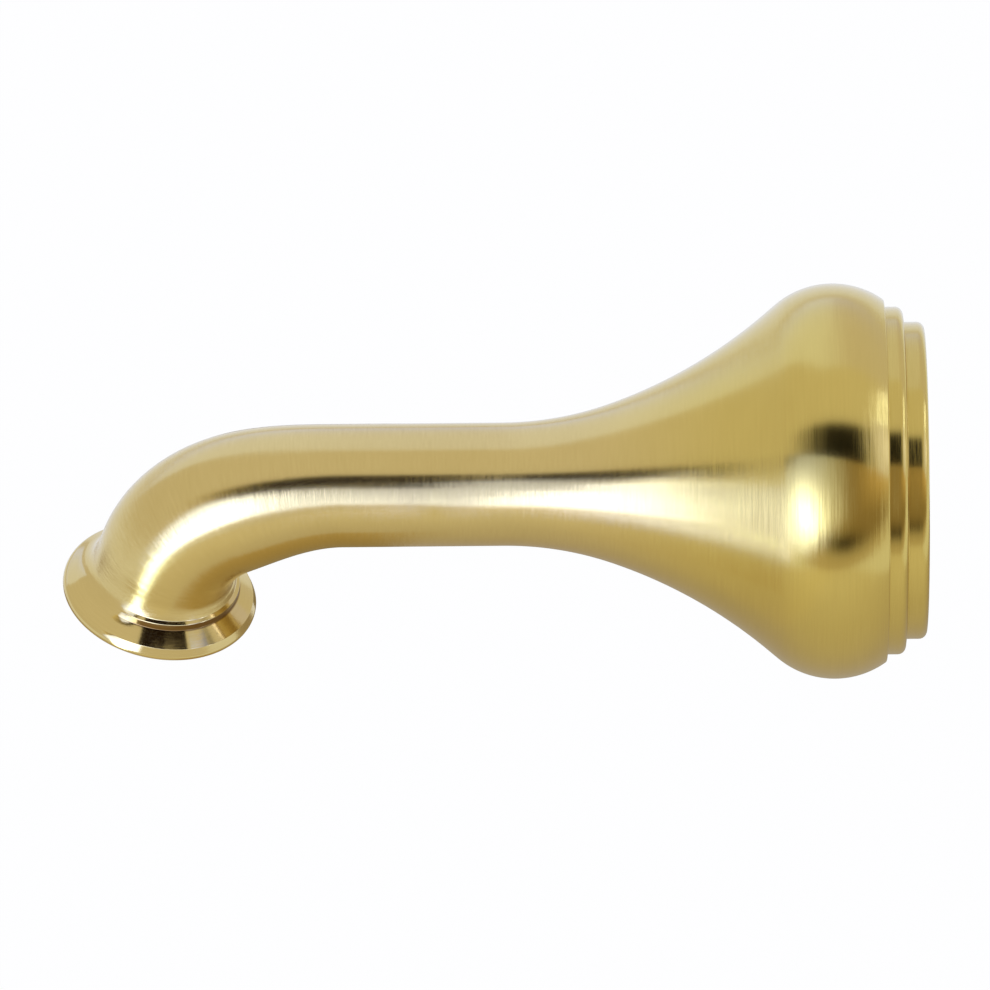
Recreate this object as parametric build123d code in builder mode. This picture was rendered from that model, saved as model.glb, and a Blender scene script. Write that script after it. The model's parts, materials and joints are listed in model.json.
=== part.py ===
"""Wall-mounted bath spout: one brass casting with a bell, stepped rings, a neck, a bend and a flared lip.

The wall face is the plane x = 0, the spout reaches along -X and +Z is up. The origin is the middle of the
wall face, on the common axis of the neck, the bell and the inlet thread.
"""

import os
from math import acos, cos, degrees, radians, sin, tan

from build123d import *

# Driving dimensions, in millimetres and degrees

# Reach, from the wall to the middle of the outlet's mouth
outlet_reach = 158.1
outlet_lean = 9.25  # outlet axis, forward of straight down

# Stepped rings at the wall
wall_ring_d = 65.3
wall_ring_w = 4.4
wall_ring_chamfer = 0.4
collar_d = 71.6
collar_w = 3.9
collar_chamfer = 0.8
bell_edge_chamfer = 0.4  # corner where the bell ends above the collar

# Bell
bell_d = 81.4
crown_depth = 18.9  # wall face to the bell's widest section
crown_round_r = 18.2
flare_slope = 40.2  # steepest slope of the flare against the axis
flare_straight = 2.7
neck_blend_slope = 19.1  # slope where the flare's hollow hands over to the neck's blend
neck_blend_r = 67.7

# Neck and bend
neck_d = 25.4
wide_bend_r = 56.9
wide_bend_turn = 24.8
tight_bend_r = 22.8
tube_d = 28.8  # tube round the tight bend
widening_steps = 4  # sections along the wide arc that set the widening

# Outlet lip, from the tube down
root_round_r = 1.6  # hollow round between the tube and the band
band_h = 1.3
skirt_slope = 35.0
rim_d = 40.4
rim_edge_h = 2.9

# Hollow of the bell
bell_wall = 3.2
wall_opening_d = 57.0
seat_depth = 54.0  # wall face to the seat around the inlet thread

# Inlet thread, as its tap-drill hole, and the waterway
tap_drill_d = 18.26
thread_l = 20.0
thread_chamfer = 1.6
drill_point_slope = 59.0
waterway_d = 17.0
outlet_bore_d = 24.0
outlet_bore_l = 10.5  # full bore, from the mouth
dish_d = 36.6  # hollow under the lip, at the mouth
dish_h = 2.6

# Sizes worked out from the ones above

wall_ring_r = wall_ring_d / 2
collar_r = collar_d / 2
rings_w = wall_ring_w + collar_w
crown_centre_r = bell_d / 2 - crown_round_r
neck_r = neck_d / 2
tube_r = tube_d / 2
band_r = tube_r + root_round_r
rim_edge_r = rim_edge_h / 2
rim_edge_centre_r = rim_d / 2 - rim_edge_r
tap_drill_r = tap_drill_d / 2
thread_end_x = -seat_depth - thread_l
waterway_r = waterway_d / 2
drill_point_l = (tap_drill_r - waterway_r) / tan(radians(drill_point_slope))
outlet_bore_r = outlet_bore_d / 2
bore_point_l = (outlet_bore_r - waterway_r) / tan(radians(drill_point_slope))

# The crown's arc runs from the bell's edge above the collar to the start of the flare
bell_edge_angle = degrees(acos((crown_depth - rings_w) / crown_round_r))
crown_turn = 90 + flare_slope - bell_edge_angle

# The flare's hollow has the radius that joins the crown to the neck
flare_fall = crown_centre_r + crown_round_r * cos(radians(flare_slope)) - neck_r
flare_fall -= flare_straight * sin(radians(flare_slope))
flare_fall -= neck_blend_r * (1 - cos(radians(neck_blend_slope)))
flare_r = flare_fall / (cos(radians(neck_blend_slope)) - cos(radians(flare_slope)))

# The skirt leaves the rim's round edge at its slope and climbs to the band
skirt_w = rim_edge_centre_r + rim_edge_r * sin(radians(skirt_slope)) - band_r
band_foot_h = rim_edge_r + rim_edge_r * cos(radians(skirt_slope)) + skirt_w * tan(radians(skirt_slope))
lip_h = band_foot_h + band_h + root_round_r

# The bend turns from level to the outlet's direction, and starts where the reach puts it
bend_turn = 90 - outlet_lean
tight_bend_turn = bend_turn - wide_bend_turn
bend_run = (wide_bend_r - tight_bend_r) * sin(radians(wide_bend_turn))
bend_run += tight_bend_r * sin(radians(bend_turn))
bend_start_x = bend_run + lip_h * sin(radians(outlet_lean)) - outlet_reach


def bell_outline(inset):
    """Draws the bell's outline from its edge over the collar to the neck, moved inwards by the inset."""
    crown = CenterArc((-crown_depth, crown_centre_r), crown_round_r - inset, bell_edge_angle, crown_turn)
    straight = Line(crown @ 1, crown @ 1 + flare_straight * (crown % 1))
    hollow = JernArc(straight @ 1, straight % 1, flare_r + inset, neck_blend_slope - flare_slope)
    blend = JernArc(hollow @ 1, hollow % 1, neck_blend_r + inset, -neck_blend_slope)
    return crown @ 0, blend @ 1


# Centreline of the bend: a wide arc and then a tight one
with BuildLine(Plane.XZ) as bend:
    wide_arc = JernArc((bend_start_x, 0), (-1, 0), wide_bend_r, wide_bend_turn)
    tight_arc = JernArc(wide_arc @ 1, wide_arc % 1, tight_bend_r, tight_bend_turn)

across = Vector(0, 1, 0)
outlet_direction = tight_arc % 1
outlet_axis = Axis(tight_arc @ 1, outlet_direction)
bend_entry = Plane(wide_arc @ 0, x_dir=across, z_dir=wide_arc % 0)
bend_middle = Plane(tight_arc @ 0, x_dir=across, z_dir=tight_arc % 0)
# Half-section of the lip: x is the radius from the outlet's axis, y the height above the mouth
mouth_centre = tight_arc @ 1 + lip_h * outlet_direction
lip_section = Plane(mouth_centre, x_dir=outlet_direction.cross(across), z_dir=-across)

with BuildPart() as spout_body:
    # Bell, stepped rings and neck, turned about the neck's axis
    with BuildSketch(Plane.XZ) as turned_body:
        with BuildLine():
            bell_edge, neck_start = bell_outline(0)
            Polyline(neck_start, (bend_start_x, neck_r), (bend_start_x, 0), (0, 0))
            Polyline(
                (0, 0),
                (0, wall_ring_r),
                (-wall_ring_w, wall_ring_r),
                (-wall_ring_w, collar_r),
                (-rings_w, collar_r),
                bell_edge,
            )
        make_face()
        for corner, size in (
            ((0, wall_ring_r), wall_ring_chamfer),
            ((-wall_ring_w, collar_r), collar_chamfer),
            (bell_edge, bell_edge_chamfer),
        ):
            chamfer(turned_body.vertices().sort_by_distance(corner)[0], length=size)
    revolve(axis=Axis.X)

    # Bend: a round tube that widens smoothly along the wide arc and keeps its size round the tight one
    for step in range(widening_steps + 1):
        share = step / widening_steps
        with BuildSketch(Plane(wide_arc @ share, x_dir=across, z_dir=wide_arc % share)):
            Circle(neck_r + (tube_r - neck_r) * share**2 * (3 - 2 * share))
    sweep(path=wide_arc, multisection=True)
    with BuildSketch(bend_middle):
        Circle(tube_r)
    sweep(path=tight_arc)

    # Lip: a hollow round, a narrow band, a sloping skirt and a half-round rim, turned about its axis
    with BuildSketch(lip_section):
        with BuildLine():
            rim = CenterArc((rim_edge_centre_r, rim_edge_r), rim_edge_r, -90, 180 - skirt_slope)
            root_round = CenterArc((band_r, lip_h), root_round_r, 180, 90)
            Polyline(rim @ 1, (band_r, band_foot_h), root_round @ 1)
            Polyline(root_round @ 0, (0, lip_h), (0, 0), rim @ 0)
        make_face()
    revolve(axis=outlet_axis)

    # Hollow of the bell: parallel to the outside, from the wall opening to the seat
    with BuildSketch(Plane.XZ):
        with BuildLine():
            hollow_edge, hollow_end = bell_outline(bell_wall)
            Polyline(hollow_end, (hollow_end.X, 0), (hollow_edge.X, 0), hollow_edge)
        make_face()
        with Locations((-seat_depth, 0)):
            Rectangle(seat_depth, bell_d, align=(Align.MIN, Align.CENTER), mode=Mode.INTERSECT)
        Rectangle(-hollow_edge.X, wall_opening_d / 2, align=(Align.MAX, Align.MIN))
    revolve(axis=Axis.X, mode=Mode.SUBTRACT)

    # Inlet thread's hole and the waterway along the neck
    with BuildSketch(Plane.XZ):
        with BuildLine():
            Polyline(
                (-seat_depth, 0),
                (-seat_depth, tap_drill_r + thread_chamfer),
                (-seat_depth - thread_chamfer, tap_drill_r),
                (thread_end_x, tap_drill_r),
                (thread_end_x - drill_point_l, waterway_r),
                (bend_start_x, waterway_r),
                (bend_start_x, 0),
                close=True,
            )
        make_face()
    revolve(axis=Axis.X, mode=Mode.SUBTRACT)

    # Waterway through the bend
    with BuildSketch(bend_entry):
        Circle(waterway_r)
    sweep(path=bend.wire(), mode=Mode.SUBTRACT)

    # Outlet bore with the point of its drill, and the dish under the lip
    with BuildSketch(lip_section):
        with BuildLine():
            Polyline(
                (0, outlet_bore_l + bore_point_l),
                (waterway_r, outlet_bore_l + bore_point_l),
                (outlet_bore_r, outlet_bore_l),
                (outlet_bore_r, dish_h),
                (dish_d / 2, 0),
                (0, 0),
                close=True,
            )
        make_face()
    revolve(axis=outlet_axis, mode=Mode.SUBTRACT)

spout_body.part.label = "spout_body"

os.makedirs("parts", exist_ok=True)
export_step(spout_body.part, "parts/spout_body.step")
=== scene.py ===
"""Looks of a wall-mounted bath spout: one satin brass casting in a plain studio.

Sizes are millimetres along the spout's own centreline until the mesh is made; the scene is in metres, in the
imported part's frame: the wall face is x = 0, the spout reaches along -X and +Z is up.
"""

import json
from math import acos, atan2, cos, degrees, hypot, pi, radians, sin, tan

import bpy
import numpy as np
from mathutils import Matrix, Vector


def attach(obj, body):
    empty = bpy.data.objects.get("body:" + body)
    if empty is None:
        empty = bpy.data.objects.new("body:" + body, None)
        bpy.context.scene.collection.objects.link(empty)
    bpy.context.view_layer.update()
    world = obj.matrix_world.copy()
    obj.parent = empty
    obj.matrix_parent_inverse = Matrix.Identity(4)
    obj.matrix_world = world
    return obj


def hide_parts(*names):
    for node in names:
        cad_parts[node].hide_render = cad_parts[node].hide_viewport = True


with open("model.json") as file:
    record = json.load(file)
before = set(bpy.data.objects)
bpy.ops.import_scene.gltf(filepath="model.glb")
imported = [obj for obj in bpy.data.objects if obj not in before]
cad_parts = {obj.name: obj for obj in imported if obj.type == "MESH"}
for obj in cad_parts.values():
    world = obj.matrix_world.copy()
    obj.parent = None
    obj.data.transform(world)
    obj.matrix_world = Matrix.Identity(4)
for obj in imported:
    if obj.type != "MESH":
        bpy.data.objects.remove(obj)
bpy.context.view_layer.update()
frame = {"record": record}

MM = 0.001
SPOUT = "spout_body"

# Stepped rings at the wall
WALL_RING_R = 32.65
WALL_RING_W = 4.4
WALL_RING_ROUND = 1.6
COLLAR_R = 35.8
COLLAR_W = 3.9
COLLAR_ROUND = 1.6
BELL_EDGE_ROUND = 0.5
STEP_ROUND = 0.15  # inner corners of the steps

# Bell: a round crown, a hollow flare and a blend into the neck
BELL_R = 40.7
CROWN_DEPTH = 18.9
CROWN_ROUND = 18.2
FLARE_SLOPE = 40.2
FLARE_STRAIGHT = 2.7
BLEND_SLOPE = 19.1
BLEND_ROUND = 67.7

# Neck, bend and outlet
NECK_R = 12.7
TUBE_R = 14.4
OUTLET_REACH = 158.1
OUTLET_LEAN = 9.25
WIDE_BEND_R = 56.9
WIDE_BEND_TURN = 24.8
TIGHT_BEND_R = 22.8

# Lip: a ledge, a narrow band, a sloping skirt and a bevelled rim
ROOT_ROUND = 1.6
ROOT_FLARE_R = 8.0  # hollow flare of the tube above the ledge
ROOT_FLARE_TURN = 26
LEDGE_ROUND = 0.3
BAND_H = 1.3
BAND_ROUND = 0.3
CREASE_ROUND = 0.2
SKIRT_SLOPE = 35.0
RIM_R = 20.2
RIM_ROUND = 1.45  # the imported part's rim
RIM_EDGE_ROUND = 0.12  # upper edge of the bevel
RIM_LOW_ROUND = 1.15
FRONT_ROUND = 8.5  # hollow round that takes the band's place on the spout's front
FRONT_TO = 52  # degrees from the front, to either side
BAND_FROM = 75

# Hollow of the bell, inlet thread and waterway
BELL_WALL = 3.2
OPENING_R = 28.5
OPENING_ROUND = 0.4
SEAT_DEPTH = 54.0
THREAD_L = 20.0
THREAD_CHAMFER = 1.6
THREAD_PITCH = 25.4 / 14
THREAD_CUT = 1.1  # depth of the grooves
THREAD_FADE = 2.2  # length over which the grooves run in and out
DRILL_POINT_SLOPE = 59.0
WATERWAY_R = 8.5
OUTLET_BORE_R = 12.0
OUTLET_BORE_L = 10.5
DISH_R = 18.3
DISH_H = 2.6
HIDDEN_ROUND = 0.3

# Fineness of the mesh
RING_POINTS = 168
CORNER_STEPS = 6
CROWN_STEPS = 44
FLARE_STEPS = 34
BLEND_STEPS = 24
ROOT_FLARE_STEPS = 14
RIM_STEPS = 16
CORNER_HOLD = 0.06  # rings this close to a rounded corner keep the flats beside it flat
BELL_EDGE_TURN = 4  # degrees of the crown left straight for its edge's round
LONG_STEP = 4.0
BEND_STEP = 0.75
THREAD_STEP = THREAD_PITCH / 10
LIP_STEP = 0.3
SLACK = 0.001  # a radius this much larger still counts as the thread's
STEP_SLACK = 1e-6  # share of a step by which a run may be too long
PANEL_POINTS = 25

inlet = next(m for m in frame["record"]["mounts"] if m["name"] == "inlet_thread")
TAP_R = inlet["dims"]["r_mm"]

# Places along the centreline
RINGS_W = WALL_RING_W + COLLAR_W
CROWN_CENTRE = (CROWN_DEPTH, BELL_R - CROWN_ROUND)
BELL_EDGE_ANGLE = 180 - degrees(acos((CROWN_DEPTH - RINGS_W) / CROWN_ROUND))
BEND_TURN = 90 - OUTLET_LEAN
TIGHT_BEND_TURN = BEND_TURN - WIDE_BEND_TURN
WIDE_BEND_L = WIDE_BEND_R * radians(WIDE_BEND_TURN)
TIGHT_BEND_L = TIGHT_BEND_R * radians(TIGHT_BEND_TURN)
BEND_L = WIDE_BEND_L + TIGHT_BEND_L
BEND_RUN = (WIDE_BEND_R - TIGHT_BEND_R) * sin(radians(WIDE_BEND_TURN))
BEND_RUN += TIGHT_BEND_R * sin(radians(BEND_TURN))
BAND_R = TUBE_R + ROOT_ROUND
SKIRT_END_R = RIM_R - RIM_ROUND + RIM_ROUND * sin(radians(SKIRT_SLOPE))
SKIRT_L = (SKIRT_END_R - BAND_R) * tan(radians(SKIRT_SLOPE))
LIP_H = ROOT_ROUND + BAND_H + SKIRT_L + RIM_ROUND * (1 + cos(radians(SKIRT_SLOPE)))
BEND_START = OUTLET_REACH - LIP_H * sin(radians(OUTLET_LEAN)) - BEND_RUN
BEND_END = BEND_START + BEND_L
BAND_START = BEND_END + ROOT_ROUND
BAND_END = BAND_START + BAND_H
MOUTH_DEPTH = BEND_END + LIP_H
RIM_END = MOUTH_DEPTH - RIM_LOW_ROUND
# Where the skirt's line reaches the rim, and the bevel's radius that fits below it
RIM_CORNER = BAND_END + (RIM_R - BAND_R) * tan(radians(SKIRT_SLOPE))
RIM_BEVEL_R = (RIM_END - RIM_CORNER) / (1 / cos(radians(SKIRT_SLOPE)) - tan(radians(SKIRT_SLOPE)))
THREAD_MOUTH = SEAT_DEPTH + THREAD_CHAMFER
THREAD_END = SEAT_DEPTH + THREAD_L

# Finishes, in the order of the spout's materials
SATIN, MACHINED = 0, 1
PAINTED_CREASE_SHADE = (0.13, 0.05, 0.008, 1)  # painted shade: the brown that darkens the groove beside the band
CREASE_SHADE_SHARE = 0.8
BELL_REFLECTION_TINT_FROM, BELL_REFLECTION_TINT_TO = -75, -35  # along X, where the painted tint for the warmer light the bell mirrors comes in
LINES_AROUND = 3  # changes of a hair line or streak on its way round
HAIR_DETAIL, HAIR_GRAIN = 3.0, 0.75
STREAK_WIDTH = 16  # in hair lines
STREAK_TILT = 0.04  # of the hair lines' tilt
PATCH_SCALE = 45  # soft patches in a metre
STREAK_TONE, PATCH_TONE = 0.9, 0.9
STREAK_ROUGHNESS, PATCH_ROUGHNESS = 0.05, 0.06
POLISHED_AWAY = 0.9  # share of the hair lines that the lip has lost
POLISH_GAIN = 0.08  # by which polish lowers the roughness

# View: far away with a long lens, above the spout's side
PHOTO_SIDE = 990
WALL_AXIS_PIXEL = (925.2, 480.2)  # where the origin shows in the photograph
PIXEL = 0.2059 * MM
VIEW_AZIMUTH = radians(-0.8)
VIEW_ELEVATION = radians(42.3)
LENS = 800
SENSOR = 36
CLIP_END = 100

to_camera = Vector((
    sin(VIEW_AZIMUTH) * cos(VIEW_ELEVATION),
    -cos(VIEW_AZIMUTH) * cos(VIEW_ELEVATION),
    sin(VIEW_ELEVATION),
))
picture_right = Vector((cos(VIEW_AZIMUTH), sin(VIEW_AZIMUTH), 0))
picture_up = to_camera.cross(picture_right)
facing_view = Matrix((picture_right, picture_up, to_camera)).transposed().to_4x4()

# Floor, far below a spout that hangs on a wall, in metres
FLOOR_Z = -1.6
FLOOR_HALF = 30.0
FLOOR_GREY = (0.85, 0.85, 0.85, 1)
FLOOR_SHOWN = (1, 1, 1, 1)
FLOOR_MIRRORED = (0.92, 1, 1.2, 1)
FLOOR_GLOW = 0.97  # the rest keeps the spout's shadow

# Studio: light is 1 where it is white, and places across the view are millimetres as the camera sees them
SURROUND = 0.76
SURROUND_RISE = 0.04  # from the horizon to straight above
PLAIN = (1, 1, 1)
BLACK = np.array([0.015, 0.008, 0.004])
CLOSE, MIDDLE, FAR = 60, 87, 300  # distances of the panels across the view

# Soft box: light at its top edge, gain to its lower edge, and hot spots of light, middle and reach
BOX_COOL = np.array([0.82, 1.0, 1.95])
BOX_TOP_LIGHT = 0.76
BOX_RISE = 0.85
BOX_GAIN = 1.2  # of the box against its right end
HOT_SPOTS = (
    (4.5, (-46, -17), (13, 14)),
    (2.5, (-172, -34), (26, 36)),
    (2.5, (-228, -80), (34, 50)),
)

# Soft box's right end beside the bell, and the dim brown side that it fades to
END_TOP, END_HEIGHT = 8, 50
END_FADE = (-7, -26)
END_WARMS = (-42, -15)
END_WARMTH = np.array([0, 0.09, 0.4])
END_LOW = (-47, -15)  # span of its lower edge, which rises to the right
END_LOW_FROM, END_LOW_SLOPE = -18, 0.8
END_LOW_BLUR = (-7, 4)
LOW_LIGHT = np.array([0.62, 0.57, 0.48])
SIDE_BROWN = np.array([1, 0.8, 0.5])
SIDE_LIGHT = 0.34
SIDE_FOOT = (-36, -26)
SIDE_CORNER_LIGHT = 0.5  # more light at the side's upper right
SIDE_CORNER_FROM, SIDE_CORNER_SIZE = (-4, -16), (50, 16)
DARK_SPOT = ((-13, -29.5), (18, 6.5))
DARK_SPOT_DEPTH = 0.95

# Dark flags, cards and the panels above and below
FLAG_LEFT, FLAG_RIGHT, FLAG_TOP = (-75, -20), (13, 0), (29, 23)  # where the flag by the bell darkens
FLAG_DEPTH = 0.75
FLAG_PALE = np.array([0.85, 0.78, 0.55])
CARD_RIGHT = -101
CARD_TOP, CARD_LOW = -5, -62
CARD_NEAR, CARD_FAR = 57, 28
CARD_COLOUR = (1.15, 1.35, 2.9)
CARD_LIGHT, CARD_FALL = 1.4, 0.75
CARD_START, CARD_RISE = 0.8, 0.75
RIGHT_GLOW_RISE = 0.9
OVERHEAD_Z = 400
OVERHEAD = (0.9, 1.0, 1.35)
OVERHEAD_LEFT_GAIN = 1.05
OVERHEAD_RIGHT = np.array([0.86, 0.78, 0.72])
OVERHEAD_FROM, OVERHEAD_WIDTH = -110, 190
OVERHEAD_BACK = 12000
BLUER_FROM, BLUER_SPAN = 600, 1500
BLUER = np.array([-0.05, 0, 0.3])
OVERHEAD_SPLIT = -120  # where the panels above meet
UNDER_Z = -150
UNDER_BACK, UNDER_FRONT = 150, -2500
UNDER_SPLIT = -130
UNDER_SHARES = [0, 0.042, 0.083, 0.125, 0.166, 0.21]  # from behind the spout to in front of it
UNDER_GAINS = [-0.3, -0.15, 0.1, 0.25, 0.36, 0.42]
UNDER_PALE = np.array([1.0, 1.2, 1.5])
UNDER_BEND_Z = -60
FRONT_END_FROM, FRONT_END_GAIN = 0.55, 0.9

# Lamps close in front of the flare, as places to the right and the light of their faces
LAMP_WIDTH = 6.8
LAMP_NEAR = 31
LAMP_COLOUR = (0.39, 0.476, 1.0)
LAMP_SHARE = 0.25  # light of a lamp's face for each watt on its area
LAMPS = ((-87, 1.1), (-80.2, 2.6), (-73.4, 2.6), (-66.6, 1.8), (-59.8, 0.6))
LAMP_TOPS = ([-87, -80, -73, -60], [-11, -6, -0.5, 4])
LAMP_LOWS = ([-90, -56], [-26, -17])


def smooth_step(value, start, end):
    """Goes from 0 at start to 1 at end: three times the share of the way squared, less twice its cube."""
    share = np.clip((value - start) / (end - start), 0, 1)
    return share**2 * (3 - 2 * share)


def arc_from(start, heading, turn, radius, steps):
    """An arc that leaves start along heading and turns by turn degrees, to the left if positive: the centre
    lies one radius to that side, and each point is the centre plus the radius swung through an equal share
    of the turn."""
    side = 1 if turn > 0 else -1
    angles = np.radians(heading + turn * np.linspace(0, 1, steps + 1))
    first = radians(heading)
    centre = np.array(start) + side * radius * np.array([-sin(first), cos(first)])
    return centre + side * radius * np.stack([np.sin(angles), -np.cos(angles)], axis=1)


def rounded(corners):
    """The outline through corners (place, radius, round): each corner with a round is cut back to where an
    arc of that radius touches both sides, half the turn's tangent away, and gets a ring just outside each end
    of the arc."""
    points = np.array([c[:2] for c in corners], float)
    outline = [points[:1]]
    for before, corner, after, (_, _, round_r) in zip(points, points[1:], points[2:], corners[1:]):
        if round_r == 0:
            outline.append(corner[None])
            continue
        into, out = corner - before, after - corner
        heading = degrees(atan2(into[1], into[0]))
        turn = (degrees(atan2(out[1], out[0])) - heading + 180) % 360 - 180
        into, out = into / hypot(*into), out / hypot(*out)
        cut = round_r * abs(tan(radians(turn) / 2))
        arc = arc_from(corner - cut * into, heading, turn, round_r, CORNER_STEPS)
        outline += [arc[:1] - CORNER_HOLD * into, arc, arc[-1:] + CORNER_HOLD * out]
    outline.append(points[-1:])
    return np.concatenate(outline)


def rings_outline(bell_start):
    """The two stepped rings, from inside the wall opening over their rounded corners to the bell."""
    bell_edge_r = CROWN_CENTRE[1] + CROWN_ROUND * sin(radians(BELL_EDGE_ANGLE))
    return rounded([
        (RINGS_W, OPENING_R, 0),
        (0, OPENING_R, OPENING_ROUND),
        (0, WALL_RING_R, WALL_RING_ROUND),
        (WALL_RING_W, WALL_RING_R, STEP_ROUND),
        (WALL_RING_W, COLLAR_R, COLLAR_ROUND),
        (RINGS_W, COLLAR_R, STEP_ROUND),
        (RINGS_W, bell_edge_r, BELL_EDGE_ROUND),
        (*bell_start, 0),
    ])[1:-1]


def bell_outline(inset, crown_start):
    """The bell from its crown to the neck, moved into the metal by inset: an arc over the crown, a straight
    run, a hollow arc and a blending arc, each leaving along the last one's direction. The hollow arc has the
    radius that brings the outside down to the neck."""
    crown_r = CROWN_ROUND - inset
    first = radians(crown_start)
    start = np.array(CROWN_CENTRE) + crown_r * np.array([cos(first), sin(first)])
    crown = arc_from(start, crown_start - 90, 90 - FLARE_SLOPE - crown_start, crown_r, CROWN_STEPS)
    fall = np.array([cos(radians(FLARE_SLOPE)), -sin(radians(FLARE_SLOPE))])
    flare_start = crown[-1] + FLARE_STRAIGHT * fall
    blend_drop = BLEND_ROUND * (1 - cos(radians(BLEND_SLOPE)))
    outer_start_r = CROWN_CENTRE[1] + CROWN_ROUND * fall[0] + FLARE_STRAIGHT * fall[1]
    flare_r = (outer_start_r - NECK_R - blend_drop) / (cos(radians(BLEND_SLOPE)) - fall[0])
    flare = arc_from(flare_start, -FLARE_SLOPE, FLARE_SLOPE - BLEND_SLOPE, flare_r + inset, FLARE_STEPS)
    blend = arc_from(flare[-1], -BLEND_SLOPE, BLEND_SLOPE, BLEND_ROUND + inset, BLEND_STEPS)
    return np.concatenate([crown, flare, blend[1:]])


def bend_outline():
    """The tube round the bend: its radius grows by the smooth step of the way walked along the wide arc."""
    walked = np.linspace(0, BEND_L, round(BEND_L / BEND_STEP) + 1)
    radius = NECK_R + (TUBE_R - NECK_R) * smooth_step(walked, 0, WIDE_BEND_L)
    return np.stack([BEND_START + walked, radius], axis=1)


def rim_bevel(share):
    """Place and radius on the arc that touches the skirt and the rim's upright: the share of its turn from
    the skirt."""
    angle = (1 - share) * radians(90 - SKIRT_SLOPE)
    return RIM_END - RIM_BEVEL_R * np.sin(angle), RIM_R - RIM_BEVEL_R * (1 - np.cos(angle))


def lip_outline():
    """The lip from the tube down: an arc flares to the ledge, then come the band, the skirt, the rim's
    straight bevel and a quarter round."""
    flare_turn = radians(ROOT_FLARE_TURN)
    ledge_r = TUBE_R + ROOT_FLARE_R * (1 - cos(flare_turn))
    ledge_start = BAND_START - (BAND_R - ledge_r) * tan(radians(SKIRT_SLOPE))
    flare_start = (ledge_start - ROOT_FLARE_R * sin(flare_turn), TUBE_R)
    flare = arc_from(flare_start, 0, ROOT_FLARE_TURN, ROOT_FLARE_R, ROOT_FLARE_STEPS)
    band = rounded([
        (*flare[-2], 0),
        (ledge_start, ledge_r, LEDGE_ROUND),
        (BAND_START, BAND_R, BAND_ROUND),
        (BAND_END, BAND_R, CREASE_ROUND),
        (*rim_bevel(0), RIM_EDGE_ROUND),
        (*rim_bevel(1), 0),
    ])
    rim = arc_from(band[-1], 0, -90, RIM_LOW_ROUND, RIM_STEPS)
    return np.concatenate([flare[:-2], band, rim[1:]])


def inside_outline(mouth_edge):
    """The way back through the dish, the outlet bore, the waterway, the thread's hole, the seat and the
    bell's hollow, which is parallel to the outside."""
    point_slope = tan(radians(DRILL_POINT_SLOPE))
    bore_top = MOUTH_DEPTH - OUTLET_BORE_L
    hollow = bell_outline(BELL_WALL, BELL_EDGE_ANGLE)
    seat_r = np.interp(SEAT_DEPTH, hollow[:, 0], hollow[:, 1])
    hollow = hollow[hollow[:, 0] < SEAT_DEPTH][::-1]
    outlet = rounded([
        (*mouth_edge, 0),
        (MOUTH_DEPTH, DISH_R, HIDDEN_ROUND),
        (MOUTH_DEPTH - DISH_H, OUTLET_BORE_R, HIDDEN_ROUND),
        (bore_top, OUTLET_BORE_R, HIDDEN_ROUND),
        (bore_top - (OUTLET_BORE_R - WATERWAY_R) / point_slope, WATERWAY_R, HIDDEN_ROUND),
        (THREAD_END + (TAP_R - WATERWAY_R) / point_slope, WATERWAY_R, 0),
        (THREAD_END, TAP_R, 0),
        (THREAD_MOUTH, TAP_R, 0),
        (SEAT_DEPTH, TAP_R + THREAD_CHAMFER, HIDDEN_ROUND),
        (SEAT_DEPTH, seat_r, HIDDEN_ROUND),
        (*hollow[0], 0),
    ])
    back = rounded([
        (*hollow[-2], 0),
        (*hollow[-1], HIDDEN_ROUND),
        (hollow[-1][0], OPENING_R, HIDDEN_ROUND),
        (RINGS_W, OPENING_R, 0),
    ])
    return np.concatenate([outlet[1:], hollow[1:-2], back[:-1]])


def spout_outline():
    """The closed outline that is carried round the centreline, as (distance along it, radius), with the
    finish of each run: out over the rings, the bell, the neck, the bend and the lip, and back through the
    inside."""
    bell = bell_outline(0, BELL_EDGE_ANGLE - BELL_EDGE_TURN)
    lip = lip_outline()
    bend = bend_outline()
    bend = bend[bend[:, 0] < lip[0, 0] - CORNER_HOLD]
    outside = np.concatenate([rings_outline(bell[0]), bell, bend, lip])
    inside = inside_outline(lip[-1])
    finish = np.repeat([SATIN, MACHINED], [len(outside), len(inside)])
    return np.concatenate([outside, inside]), finish


def in_thread(place, radius):
    """Whether a point lies on the wall of the thread's hole."""
    return (place > THREAD_MOUTH) & (place < THREAD_END) & (radius < TAP_R + SLACK)


def with_rings(outline, finish):
    """The closed outline with more points on its long runs: each run is divided into equal steps, no longer
    than the step for its place. Gives the points, the finish of the run after each, and the length walked to
    each."""
    ends = np.roll(outline, -1, axis=0)
    lengths = np.hypot(*(ends - outline).T)
    middle, radius = ((outline + ends) / 2).T
    in_bend = (middle > BEND_START) & (middle < BEND_END)
    on_lip = (middle > BEND_END) & (radius > BAND_R)
    places = [in_bend, in_thread(middle, radius), on_lip]
    step = np.select(places, [BEND_STEP, THREAD_STEP, LIP_STEP], LONG_STEP)
    counts = np.ceil(lengths / step - STEP_SLACK).astype(int)
    owner = np.repeat(np.arange(len(outline)), counts)
    nth = np.arange(len(owner)) - np.repeat(np.cumsum(counts) - counts, counts)
    share = (nth / counts[owner])[:, None]
    points = outline[owner] * (1 - share) + ends[owner] * share
    walked = (np.cumsum(lengths) - lengths)[owner] + lengths[owner] * share[:, 0]
    return points, finish[owner], walked


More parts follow.
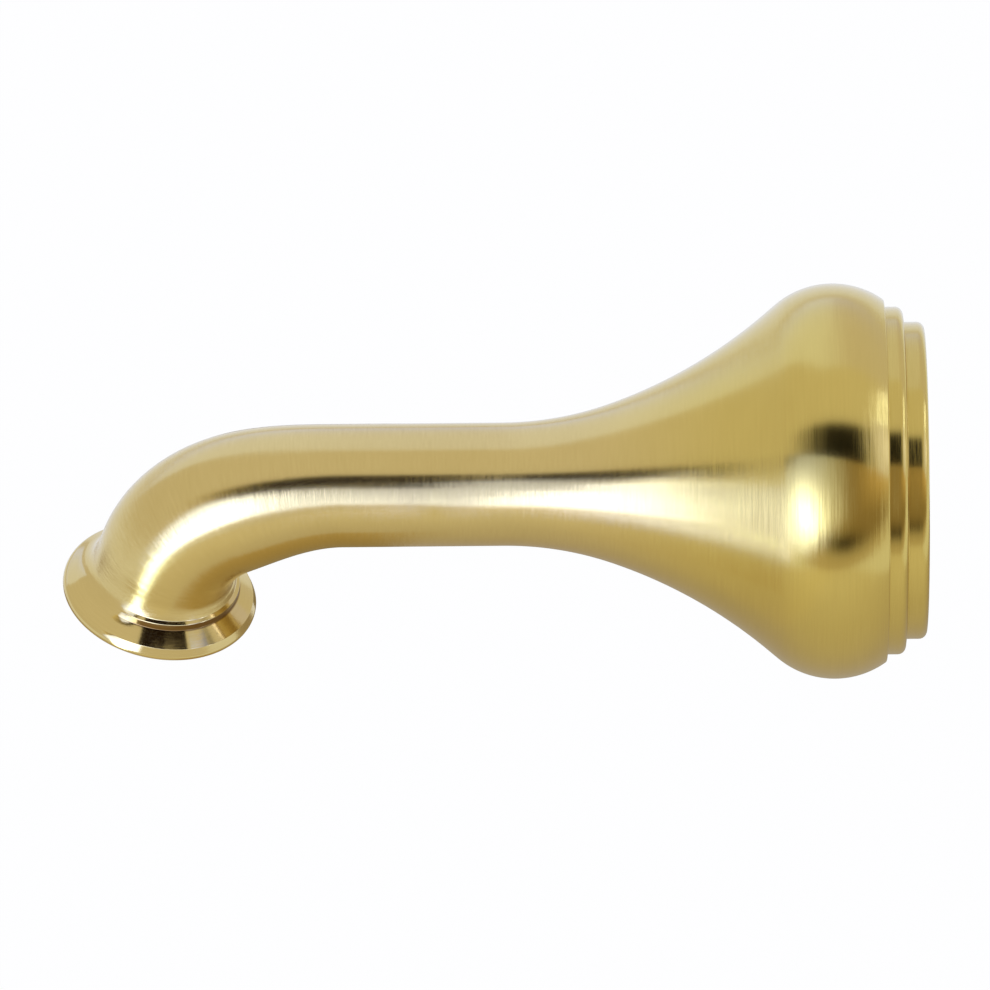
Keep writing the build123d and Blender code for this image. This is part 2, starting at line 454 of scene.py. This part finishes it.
def front_round(points, finish, walked):
    """The outline as it runs on the spout's front: one hollow arc touches the tube and the skirt, as far on
    both sides of where their lines meet as the tangent of half the turn asks for, and the rim's bevel is an
    arc there. The points keep their shares of the length."""
    slope = radians(SKIRT_SLOPE)
    turn = pi / 2 - slope
    cut = FRONT_ROUND * tan(turn / 2)
    meet = BAND_END - ROOT_ROUND * tan(slope)
    outside = finish == SATIN
    first, last = np.interp([meet - cut, meet + cut * sin(slope)], points[outside, 0], walked[outside])
    on_arc = outside & (walked > first) & (walked < last)
    swing = turn * (walked - first) / (last - first)
    arc_place = meet - cut + FRONT_ROUND * np.sin(swing)
    arc_radius = TUBE_R + FRONT_ROUND * (1 - np.cos(swing))
    arc = np.stack([arc_place, arc_radius], axis=1)
    first, last = np.interp([rim_bevel(0)[0], RIM_END], points[outside, 0], walked[outside])
    on_rim = outside & (walked > first) & (walked < last)
    rim = np.stack(rim_bevel((walked - first) / (last - first)), axis=1)
    return np.where(on_rim[:, None], rim, np.where(on_arc[:, None], arc, points))


def centreline(place):
    """Points of the centreline in the XZ plane and its direction there, at distances from the wall: straight
    to the bend, a wide arc, a tight arc, and straight again along the outlet's axis. On an arc the direction
    turns with the length walked, and the point is the arc's centre plus its radius."""
    wide = np.clip(place - BEND_START, 0, WIDE_BEND_L) / WIDE_BEND_R
    tight = np.clip(place - BEND_START - WIDE_BEND_L, 0, TIGHT_BEND_L) / TIGHT_BEND_R
    turned = wide + tight
    along = np.minimum(place, BEND_START) + WIDE_BEND_R * np.sin(wide)
    along += TIGHT_BEND_R * (np.sin(turned) - np.sin(wide))
    down = WIDE_BEND_R * (1 - np.cos(wide)) + TIGHT_BEND_R * (np.cos(wide) - np.cos(turned))
    past = np.maximum(place - BEND_END, 0)
    return -(along + past * np.cos(turned)), -(down + past * np.sin(turned)), turned


def spout_surface():
    """The spout as a grid of rings: each point is the centreline's point plus the outline's radius, swung by
    the ring's angle from the spout's front. On the front a hollow round takes the band's place. The thread
    adds a triangle wave of one pitch a turn to the radius. The lip is polished from its root on."""
    points, finish, walked = with_rings(*spout_outline())
    place, radius = points.T[:, :, None]
    angle = np.linspace(0, 2 * np.pi, RING_POINTS, endpoint=False)[None, :]
    polish = np.where(radius > TUBE_R, smooth_step(place, BEND_END, BAND_START), 0)

    front = smooth_step(np.degrees(np.arccos(np.cos(angle))), BAND_FROM, FRONT_TO)
    front_place, front_radius = front_round(points, finish, walked).T[:, :, None]
    # Painted shade: where the groove beside the band is darkened, faded out on the front
    on_band = (place > BAND_START) & (place < BAND_END + CREASE_ROUND)
    on_band &= (radius > TUBE_R) & (radius < BAND_R + CREASE_ROUND)
    crease = on_band * (1 - front)
    place, radius = place + front * (front_place - place), radius + front * (front_radius - radius)

    run_in = np.clip(np.minimum(place - THREAD_MOUTH, THREAD_END - place) / THREAD_FADE, 0, 1)
    groove = np.abs((place / THREAD_PITCH - angle / (2 * np.pi)) % 1 * 2 - 1)
    radius = radius + in_thread(place, radius) * run_in * THREAD_CUT * groove

    x, z, turned = centreline(place)
    outward = radius * np.cos(angle)
    surface = np.stack([
        x - outward * np.sin(turned),
        radius * np.sin(angle),
        z + outward * np.cos(turned),
    ], axis=-1)
    return surface * MM, angle, finish, walked, np.broadcast_to(polish, crease.shape), crease


def spout_piece():
    """The spout's mesh: quads between each ring and the next, closed both ways. Its attributes hold the
    direction of the outline, which the brush lines cross, and where each point lies for the brush's own
    pattern."""
    surface, angle, finish, walked, polish, crease = spout_surface()
    rings, around = surface.shape[:2]
    index = np.arange(rings * around).reshape(rings, around)
    ahead = np.roll(index, -1, axis=0)
    quads = np.stack([index, ahead, np.roll(ahead, -1, axis=1), np.roll(index, -1, axis=1)], axis=-1)

    lay = np.roll(surface, -1, axis=0) - np.roll(surface, 1, axis=0)
    lay /= np.linalg.norm(lay, axis=-1, keepdims=True)
    turn = np.broadcast_to(angle, (rings, around))
    brush = np.stack([np.broadcast_to(walked[:, None], turn.shape), np.cos(turn), np.sin(turn)], axis=-1)

    mesh = bpy.data.meshes.new("satin_spout")
    mesh.from_pydata(surface.reshape(-1, 3), [], quads.reshape(-1, 4))
    mesh.polygons.foreach_set("use_smooth", np.ones(rings * around, bool))
    mesh.polygons.foreach_set("material_index", np.repeat(finish, around).astype(np.int32))
    for name, values in (("lay", lay), ("brush", brush)):
        layer = mesh.attributes.new(name, "FLOAT_VECTOR", "POINT")
        layer.data.foreach_set("vector", values.astype(np.float32).ravel())
    # Polish, and where the band's groove gets painted shade
    for name, values in (("polish", polish), ("crease", crease)):
        layer = mesh.attributes.new(name, "FLOAT", "POINT")
        layer.data.foreach_set("value", values.astype(np.float32).ravel())
    mesh.update()
    piece = bpy.data.objects.new("satin_spout", mesh)
    bpy.context.scene.collection.objects.link(piece)
    return piece


class Wire:
    """A socket of a node tree. Arithmetic on it adds Math nodes, and node() adds any other node."""

    def __init__(self, tree, socket=None):
        self.tree = tree
        self.socket = socket

    def node(self, kind, settings=None, inputs=None, output=0):
        """Adds a node with its settings and the values or links of its sockets, and gives one output."""
        made = self.tree.nodes.new(kind)
        for name, value in (settings or {}).items():
            setattr(made, name, value)
        for name, value in (inputs or {}).items():
            if isinstance(value, Wire):
                self.tree.links.new(value.socket, made.inputs[name])
            else:
                made.inputs[name].default_value = value
        return Wire(self.tree, made.outputs[output] if len(made.outputs) else None)

    def math(self, operation, first, second):
        return self.node("ShaderNodeMath", {"operation": operation}, {0: first, 1: second})

    def __add__(self, other):
        return self.math("ADD", self, other)

    def __radd__(self, other):
        return self.math("ADD", other, self)

    def __sub__(self, other):
        return self.math("SUBTRACT", self, other)

    def __rsub__(self, other):
        return self.math("SUBTRACT", other, self)

    def __mul__(self, other):
        return self.math("MULTIPLY", self, other)

    def __rmul__(self, other):
        return self.math("MULTIPLY", other, self)

    def vector(self, operation, other, socket=1):
        settings = {"operation": operation}
        return self.node("ShaderNodeVectorMath", settings, {0: self, socket: other})

    def between(self, low, high):
        """Goes from colour low to colour high as this value goes from 0 to 1."""
        return self.node("ShaderNodeMix", {"data_type": "RGBA"}, {0: self, 6: low, 7: high}, 2)

    def tinted(self, tint):
        """This colour times another one."""
        settings = {"data_type": "RGBA", "blend_type": "MULTIPLY"}
        return self.node("ShaderNodeMix", settings, {0: 1.0, 6: self, 7: tint}, 2)

    def noise(self, scale, detail=2.0, roughness=0.6):
        """Noise about zero over this vector, stretched by scale."""
        inputs = {"Vector": self.vector("MULTIPLY", scale), "Scale": 1.0}
        inputs |= {"Detail": detail, "Roughness": roughness}
        return self.node("ShaderNodeTexNoise", None, inputs) - 0.5

    def attribute(self, name, output):
        """The mesh's own attribute of that name."""
        return self.node("ShaderNodeAttribute", {"attribute_name": name}, None, output)


def new_material(name):
    """A material with no nodes yet, and the wire that adds them."""
    material = bpy.data.materials.new(name)
    material.use_nodes = True
    material.node_tree.nodes.clear()
    return material, Wire(material.node_tree)


def brushed_brass(name, light, dark, bell_reflection_tint, roughness, hair_depth, hair_width):
    """Brass brushed around its forms: hair lines of random tilt across the outline's direction, with streaks
    and soft patches in colour and roughness. The lip is polished, the groove beside its band gets painted
    shade, and the bell gets a painted warmer tint for the warmer light it mirrors."""
    material, wire = new_material(name)
    brush = wire.attribute("brush", "Vector")
    lay = wire.attribute("lay", "Vector")
    polish = wire.attribute("polish", "Fac")
    crease = wire.attribute("crease", "Fac")
    normal = wire.node("ShaderNodeNewGeometry", None, None, "Normal")
    place = wire.node("ShaderNodeTexCoord", None, None, "Object")

    hair = brush.noise((1 / hair_width, LINES_AROUND, LINES_AROUND), HAIR_DETAIL, HAIR_GRAIN)
    streak = brush.noise((1 / (STREAK_WIDTH * hair_width), LINES_AROUND, LINES_AROUND))
    patch = place.noise((PATCH_SCALE, PATCH_SCALE, PATCH_SCALE))
    depth = hair_depth - polish * (POLISHED_AWAY * hair_depth)
    tilt = hair * depth + streak * (depth * STREAK_TILT)
    tilted = lay.vector("SCALE", tilt, "Scale").vector("ADD", normal).vector("NORMALIZE", (0, 0, 0))

    shade = streak * STREAK_TONE + patch * PATCH_TONE + 0.5
    # Painted shade: the groove beside the band is darkened towards a deep brown
    tone = (crease * CREASE_SHADE_SHARE).between(shade.between((*dark, 1), (*light, 1)), PAINTED_CREASE_SHADE)
    along = wire.node("ShaderNodeSeparateXYZ", None, {0: place}, "X")
    on_bell = wire.node("ShaderNodeMapRange", {"interpolation_type": "SMOOTHSTEP"}, {
        "Value": along, "From Min": BELL_REFLECTION_TINT_FROM * MM, "From Max": BELL_REFLECTION_TINT_TO * MM,
    })
    unevenness = streak * STREAK_ROUGHNESS + patch * PATCH_ROUGHNESS
    surface = wire.node("ShaderNodeBsdfPrincipled", None, {
        # Painted reflection: a warmer tint on the bell stands in for the warmer light it mirrors
        "Base Color": on_bell.between(tone, tone.tinted((*bell_reflection_tint, 1))),
        "Metallic": 1.0,
        "Roughness": unevenness - polish * POLISH_GAIN + roughness,
        "Normal": tilted,
    })
    wire.node("ShaderNodeOutputMaterial", None, {"Surface": surface})
    return material


def facing(right, up, near):
    """A place in millimetres as the camera sees it: to the right of, above and nearer than the wall face's
    centre."""
    return picture_right * right + picture_up * up + to_camera * near


def level_glow(across, down, right, up):
    """The same light all over a panel."""
    return np.ones((*across.shape, 1))


def studio_panel(name, corners, colour, glow=level_glow):
    """A four-cornered panel, given from its top left corner clockwise, which only reflections see. Its
    points divide the edges into equal shares, and glow is the light at the shares across and down and at the
    places to the right and up in the picture."""
    share = np.linspace(0, 1, PANEL_POINTS)
    down, across = np.meshgrid(share, share, indexing="ij")
    top_left, top_right, low_right, low_left = (np.array(corner) for corner in corners)
    top = top_left + (top_right - top_left) * across[..., None]
    low = low_left + (low_right - low_left) * across[..., None]
    points = top + (low - top) * down[..., None]
    index = np.arange(PANEL_POINTS**2).reshape(PANEL_POINTS, PANEL_POINTS)
    faces = np.stack([index[:-1, :-1], index[1:, :-1], index[1:, 1:], index[:-1, 1:]], axis=-1)
    light = glow(across, down, points @ np.array(picture_right), points @ np.array(picture_up))
    colours = np.concatenate([light * np.array(colour), np.ones((*across.shape, 1))], axis=-1)

    mesh = bpy.data.meshes.new(name)
    mesh.from_pydata(points.reshape(-1, 3) * MM, [], faces.reshape(-1, 4))
    layer = mesh.attributes.new("glow", "FLOAT_COLOR", "POINT")
    layer.data.foreach_set("color", colours.astype(np.float32).ravel())
    panel = bpy.data.objects.new(name, mesh)
    bpy.context.scene.collection.objects.link(panel)
    material, wire = new_material(name)
    emission = wire.node("ShaderNodeEmission", None, {"Color": wire.attribute("glow", "Color")})
    wire.node("ShaderNodeOutputMaterial", None, {"Surface": emission})
    mesh.materials.append(material)
    panel.visible_camera = False


def facing_panel(name, near, corners, colour, glow=level_glow):
    """A panel across the view, all at one distance in front of the wall face's centre."""
    studio_panel(name, [facing(right, up, near) for right, up in corners], colour, glow)


def level_panel(name, height, corners, colour, glow):
    """A level panel above or below the spout, given by the places of its corners on X and Y."""
    studio_panel(name, [(x, y, height) for x, y in corners], colour, glow)


def bell_curve(right, up, middle, reach):
    """One at the middle, falling off as the exponential of minus the squared distance in shares of the
    reach."""
    return np.exp(-(((right - middle[0]) / reach[0]) ** 2) - ((up - middle[1]) / reach[1]) ** 2)


def soft_box_light(right, up, down):
    """A cool soft box that brightens from its top edge down, with three hot spots."""
    hot = sum(light * bell_curve(right, up, middle, reach) for light, middle, reach in HOT_SPOTS)
    return (BOX_TOP_LIGHT + BOX_RISE * down + hot)[..., None] * BOX_COOL


def soft_box_glow(across, down, right, up):
    """The soft box, a fifth brighter than at its right end."""
    return BOX_GAIN * soft_box_light(right, up, down)


def side_glow(across, down, right, up):
    """The soft box's right end: it fades to a dim brown side, lighter at the upper right, and its lower edge
    rises to the right. A dark spot lies under it."""
    corner = np.sqrt(np.clip((right - SIDE_CORNER_FROM[0]) / SIDE_CORNER_SIZE[0], 0, 1))
    corner *= np.clip((up - SIDE_CORNER_FROM[1]) / SIDE_CORNER_SIZE[1], 0, 1)
    on_side = smooth_step(up, *SIDE_FOOT)[..., None]
    side = on_side * (SIDE_LIGHT + SIDE_CORNER_LIGHT * corner)[..., None] * SIDE_BROWN
    side = side + (1 - on_side) * LOW_LIGHT

    low_edge = np.clip(END_LOW[1] + END_LOW_SLOPE * (right - END_LOW_FROM), *END_LOW)
    in_box = smooth_step(up, low_edge + END_LOW_BLUR[0], low_edge + END_LOW_BLUR[1])[..., None]
    warm = 1 - smooth_step(right, *END_WARMS)[..., None] * END_WARMTH
    box = in_box * soft_box_light(right, up, (END_TOP - up) / END_HEIGHT) * warm
    box = box + (1 - in_box) * LOW_LIGHT

    lit = smooth_step(right, *END_FADE)[..., None]
    spot = DARK_SPOT_DEPTH * bell_curve(right, up, *DARK_SPOT)
    return (lit * box + (1 - lit) * side) * (1 - spot)[..., None]


def flag_glow(across, down, right, up):
    """A dark flag that fades to the surround's light at its left and right ends and its top."""
    dark = smooth_step(right, *FLAG_LEFT) * smooth_step(right, *FLAG_RIGHT) * smooth_step(up, *FLAG_TOP)
    return (SURROUND - FLAG_DEPTH * dark)[..., None]


def paler_left(across, down, right, up):
    """A dark flag that pales towards its left end with the square of the share of the way."""
    return BLACK + ((1 - across) ** 2)[..., None] * FLAG_PALE


def weaker_away(across, down, right, up):
    """The surround's level at the top edge and the right end, and brightest at the lower left corner."""
    return (SURROUND + RIGHT_GLOW_RISE * down * (1 - across))[..., None]


def card_glow(across, down, right, up):
    """Brightest at the near edge's low end, and weaker towards the far edge and the top."""
    return (CARD_LIGHT * (1 - CARD_FALL * down) * (CARD_START + CARD_RISE * across))[..., None]


def warmer_right(across, down, right, up):
    """Goes from the panel's own cool colour on the left to a warmer, weaker one on the right, and is bluer
    far behind."""
    share = np.clip((right - OVERHEAD_FROM) / OVERHEAD_WIDTH, 0, 1)[..., None]
    behind = np.clip((up - BLUER_FROM) / BLUER_SPAN, 0, 1)[..., None]
    light = OVERHEAD_LEFT_GAIN + share * (OVERHEAD_RIGHT - OVERHEAD_LEFT_GAIN)
    return light * (1 + behind * BLUER)


def lighter_in_front(across, down, right, up):
    """Goes from the panel's own warm colour behind the spout to a paler one in front of it."""
    return 1 + np.interp(down, UNDER_SHARES, UNDER_GAINS)[..., None] * UNDER_PALE


def lighter_front_end(across, down, right, up):
    """Level from the back to the middle, and lighter from there to the front end."""
    share = np.clip((down - FRONT_END_FROM) / (1 - FRONT_END_FROM), 0, 1)
    return (1 + FRONT_END_GAIN * share)[..., None]


def flare_lamp(right, level):
    """A small cool lamp close in front of the flare, whose face has the given light. Its top and its lower
    edge rise to the right."""
    top, low = np.interp(right, *LAMP_TOPS), np.interp(right, *LAMP_LOWS)
    lamp = bpy.data.lights.new("flare_lamp", "AREA")
    lamp.shape = "RECTANGLE"
    lamp.size, lamp.size_y = LAMP_WIDTH * MM, (top - low) * MM
    lamp.color = LAMP_COLOUR
    lamp.energy = level * lamp.size * lamp.size_y / LAMP_SHARE
    holder = bpy.data.objects.new("flare_lamp", lamp)
    holder.matrix_world = Matrix.Translation(facing(right, (top + low) / 2, LAMP_NEAR) * MM) @ facing_view
    bpy.context.scene.collection.objects.link(holder)


def add_camera():
    """The camera that shows the photograph's frame at its scale."""
    middle = picture_right * (PHOTO_SIDE / 2 - WALL_AXIS_PIXEL[0]) * PIXEL
    middle += picture_up * (WALL_AXIS_PIXEL[1] - PHOTO_SIDE / 2) * PIXEL
    camera_data = bpy.data.cameras.new("camera")
    camera_data.lens = LENS
    camera_data.sensor_width = SENSOR
    camera_data.clip_end = CLIP_END
    camera = bpy.data.objects.new("camera", camera_data)
    distance = PHOTO_SIDE * PIXEL * LENS / SENSOR
    camera.matrix_world = Matrix.Translation(middle + to_camera * distance) @ facing_view
    bpy.context.scene.collection.objects.link(camera)
    bpy.context.scene.camera = camera


def add_floor():
    """A pale level floor, which shows white to the camera and in reflections."""
    mesh = bpy.data.meshes.new("floor")
    corners = np.array([(-1, -1), (1, -1), (1, 1), (-1, 1)]) * FLOOR_HALF
    mesh.from_pydata(np.c_[corners, np.full(4, FLOOR_Z)], [], [(0, 1, 2, 3)])
    floor = bpy.data.objects.new("floor", mesh)
    bpy.context.scene.collection.objects.link(floor)
    material, wire = new_material("pale_floor")
    seen = wire.node("ShaderNodeLightPath", None, None, "Is Camera Ray")
    mirrored = wire.node("ShaderNodeLightPath", None, None, "Is Glossy Ray")
    pale = wire.node("ShaderNodeBsdfDiffuse", None, {"Color": FLOOR_GREY})
    white = wire.node("ShaderNodeEmission", None, {"Color": mirrored.between(FLOOR_SHOWN, FLOOR_MIRRORED)})
    glow = (seen + mirrored) * FLOOR_GLOW
    surface = wire.node("ShaderNodeMixShader", None, {0: glow, 1: pale, 2: white})
    wire.node("ShaderNodeOutputMaterial", None, {"Surface": surface})
    mesh.materials.append(material)


def add_surround():
    """An even pale surround, a little lighter above, which shows white to the camera."""
    world = bpy.data.worlds.new("studio")
    bpy.context.scene.world = world
    world.use_nodes = True
    world.node_tree.nodes.clear()
    wire = Wire(world.node_tree)
    seen = wire.node("ShaderNodeLightPath", None, None, "Is Camera Ray")
    direction = wire.node("ShaderNodeTexCoord", None, None, "Generated")
    height = wire.node("ShaderNodeSeparateXYZ", None, {0: direction}, "Z")
    surround = height * SURROUND_RISE + SURROUND
    level = surround + seen * (1 - surround)
    background = wire.node("ShaderNodeBackground", None, {"Color": (1, 1, 1, 1), "Strength": level})
    wire.node("ShaderNodeOutputWorld", None, {"Surface": background})


# The spout
spout = spout_piece()
# The bell's tint on the satin brass is painted: it stands in for the warmer light the bell mirrors
spout.data.materials.append(brushed_brass(
    "satin_brass", light=(0.7, 0.53, 0.205), dark=(0.62, 0.46, 0.165), bell_reflection_tint=(0.98, 0.97, 0.7),
    roughness=0.18, hair_depth=1.2, hair_width=0.02,
))
spout.data.materials.append(brushed_brass(
    "machined_brass", light=(0.56, 0.43, 0.18), dark=(0.42, 0.31, 0.13), bell_reflection_tint=(1, 1, 1),
    roughness=0.32, hair_depth=0.7, hair_width=0.25,
))
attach(spout, "root")
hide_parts(SPOUT)

add_camera()
add_floor()
add_surround()

# In front of the bell: a dark flag over the right end of the soft box
facing_panel("bell_flag", CLOSE, [(-75, 31), (20, 31), (20, 5), (-75, 15.3)], PLAIN, flag_glow)
facing_panel("bell_side", CLOSE, [(-57, 13.3), (60, 0.7), (60, -42), (-57, -54)], PLAIN, side_glow)

# The soft box along the neck and round the bend
for name, near, corners in (
    ("soft_box_middle", CLOSE, [(-99, 2), (-57, 13.3), (-57, -47), (-99, -46)]),
    ("soft_box_left", MIDDLE, [(-150, -2), (-79, -16), (-79, -66), (-150, -54)]),
    ("soft_box_bend", MIDDLE, [(-205, 2), (-150, -2), (-150, -54), (-205, -95)]),
    ("soft_box_end", MIDDLE, [(-310, -72), (-205, 2), (-205, -95), (-310, -225)]),
):
    facing_panel(name, near, corners, PLAIN, soft_box_glow)

# The flare's lamps, and a card that ends what it mirrors of the soft box
for right, level in LAMPS:
    flare_lamp(right, level)
studio_panel("neck_card", [
    facing(CARD_RIGHT, CARD_TOP, CARD_NEAR),
    facing(CARD_RIGHT, CARD_LOW, CARD_NEAR),
    facing(CARD_RIGHT, CARD_LOW, CARD_FAR),
    facing(CARD_RIGHT, CARD_TOP, CARD_FAR),
], CARD_COLOUR, card_glow)

# Dark flags over the soft box, which draw the dark line along the neck and the bend
facing_panel("lip_flag", MIDDLE, [(-164, 26), (-84, 26), (-84, 7), (-164, 4)], BLACK)
facing_panel("neck_flag", FAR, [(-104, 90), (-58, 98), (-58, -40), (-104, -40)], BLACK)
facing_panel("bend_flag", FAR, [(-420, 125), (-104, 90), (-104, -40), (-420, -10)], PLAIN, paler_left)

# A bright strip by the lip, and a light and its glow to the right of the bell
studio_panel("low_strip", [
    (-210.5, -58.4, -15), (-201, -67, -17), (-191, -63, -54), (-205, -54, -52),
], (4, 5, 7))
studio_panel("right_light", [(80, 20, 105), (92, 31, 86), (100, -8, 84), (86, -18, 103)], (2.4, 2.8, 4.4))
studio_panel("right_glow", [
    (90, -14, 125), (90, -90, 125), (90, -75, 50), (90, -14, 50),
], (1, 1.08, 1.8), weaker_away)

# Above and below
level_panel("overhead_right", OVERHEAD_Z, [
    (OVERHEAD_SPLIT, OVERHEAD_BACK), (1500, OVERHEAD_BACK), (1500, 300), (OVERHEAD_SPLIT, 135),
], OVERHEAD, warmer_right)
level_panel("overhead_left", OVERHEAD_Z, [
    (-3000, OVERHEAD_BACK), (OVERHEAD_SPLIT, OVERHEAD_BACK), (OVERHEAD_SPLIT, 135), (-3000, 2156),
], OVERHEAD, warmer_right)
for name, left, right, colour in (
    ("under_right", UNDER_SPLIT, 300, (0.57, 0.54, 0.48)),
    ("under_left", -400, UNDER_SPLIT, (0.6, 0.56, 0.46)),
):
    level_panel(name, UNDER_Z, [
        (left, UNDER_BACK), (right, UNDER_BACK), (right, UNDER_FRONT), (left, UNDER_FRONT),
    ], colour, lighter_in_front)
level_panel("under_bend", UNDER_BEND_Z, [
    (-150, 120), (-108, 120), (-108, -50), (-150, -50),
], (0.3, 0.24, 0.12), lighter_front_end)

scene = bpy.context.scene
scene.view_settings.view_transform = "Standard"
